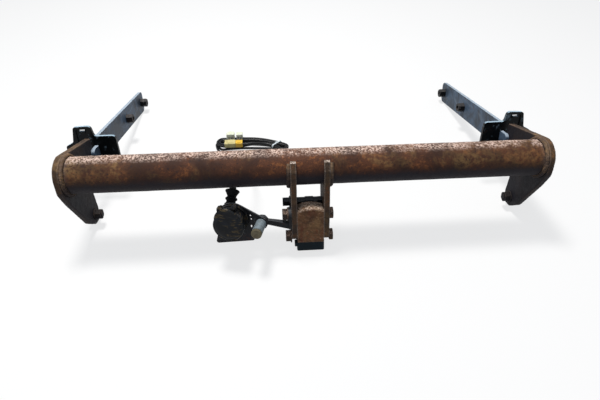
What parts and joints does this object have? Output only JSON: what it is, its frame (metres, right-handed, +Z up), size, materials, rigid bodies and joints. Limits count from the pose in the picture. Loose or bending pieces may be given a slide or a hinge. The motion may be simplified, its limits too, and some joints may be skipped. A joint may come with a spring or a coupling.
{
  "type": "removable-neck towing bar",
  "caption": "Rusty round cross tube with end plates and side arms, a plugged receiver for a removable tow neck, and a trailer socket on a folding plate with its coiled wiring loom",
  "frame": {"origin": "middle of the bar's footprint on the ground, as it lies on its receiver plug and arm tips; the free wiring loom isn't counted", "axes": "+X runs along the cross tube, +Y forward along the side arms toward the vehicle, +Z up from the ground"},
  "size_m": [1.108, 0.6764, 0.2235],
  "materials": {
    "tube_rust": "rusted and pitted, with mud",
    "plate_rust": "rusted, muddy",
    "weld_rust": "rusted weld bead",
    "arm_steel": "old dark paint, worn edges",
    "flange_black": "gloss black paint",
    "neck_rust": "rusted, muddy",
    "housing_rust": "rough rusted casting",
    "fastener_rust": "rusted fasteners",
    "liner_steel": "ground steel",
    "black_steel": "black coated steel",
    "zinc": "dull zinc plate",
    "black_plastic": "black moulding",
    "teal_plastic": "blue-black moulding",
    "black_rubber": "soft black rubber",
    "contact_brass": "plain brass",
    "loom": "glossy black conduit",
    "tie": "light grey tie",
    "cream": "cream moulding",
    "yellow": "yellow moulding",
    "clear": "milky clear moulding"
  },
  "bodies": {
    "bar": {"cross_tube": "tube_rust", "end_plate_right": "plate_rust", "end_plate_left": "plate_rust", "tube_end_welds": "weld_rust", "neck_welds": "weld_rust", "arm_welds": "weld_rust", "side_arm_right": "arm_steel", "side_arm_left": "arm_steel", "arm_weld_nuts_right": "arm_steel", "arm_weld_nuts_left": "arm_steel", "rail_flange_right": "flange_black", "rail_flange_left": "flange_black", "neck_plate_right": "neck_rust", "neck_plate_left": "neck_rust", "receiver_housing": "housing_rust", "tongue_bolts": "fastener_rust", "tongue_washers": "fastener_rust", "tongue_nuts": "fastener_rust", "housing_bolts": "fastener_rust", "housing_washers": "fastener_rust", "housing_nuts": "fastener_rust", "receiver_sleeve": "liner_steel", "stay_bolt": "black_steel", "stay_tube": "black_steel", "stay_nut": "black_steel", "socket_bracket": "black_steel", "pivot_bolt": "zinc", "pivot_washers": "zinc", "pivot_nut": "zinc", "lead_run": "loom", "lead_coil": "loom", "connector_wires": "loom", "coil_tie": "tie", "connector_cream": "cream", "connector_yellow": "yellow", "connector_clear": "clear"},
    "swing": {"pivot_tube": "zinc", "swing_plate": "black_steel", "socket_housing": "black_plastic", "socket_gasket": "black_rubber", "contact_insert": "black_plastic", "contact_sleeves": "contact_brass", "socket_screws": "zinc", "socket_rear_cover": "black_plastic", "cable_boot": "black_rubber", "lid_hinge_pin": "zinc", "lid_spring": "zinc"},
    "lid": {"socket_lid": "black_plastic", "lid_seal": "black_rubber"},
    "plug": {"receiver_plug": "teal_plastic"}
  },
  "joints": [
    {"name": "socket_swing", "type": "hinge", "parent": "bar", "child": "swing", "pos_m": [-0.104, -0.29362, 0.08996], "axis": [-0.2079, -0.9458, 0.2496], "range_deg": [0, 90]},
    {"name": "lid_hinge", "type": "hinge", "parent": "swing", "child": "lid", "pos_m": [-0.17266, -0.29744, 0.13848], "axis": [-0.9686, 0.1636, -0.1871], "range_deg": [0, 110], "stiffness_Nm_per_rad": 0.03, "springref_deg": -22.92},
    {"name": "plug_slide", "type": "slide", "parent": "bar", "child": "plug", "axis": [0, -0.2552, -0.9669], "range_m": [0, 0.085]}
  ]
}
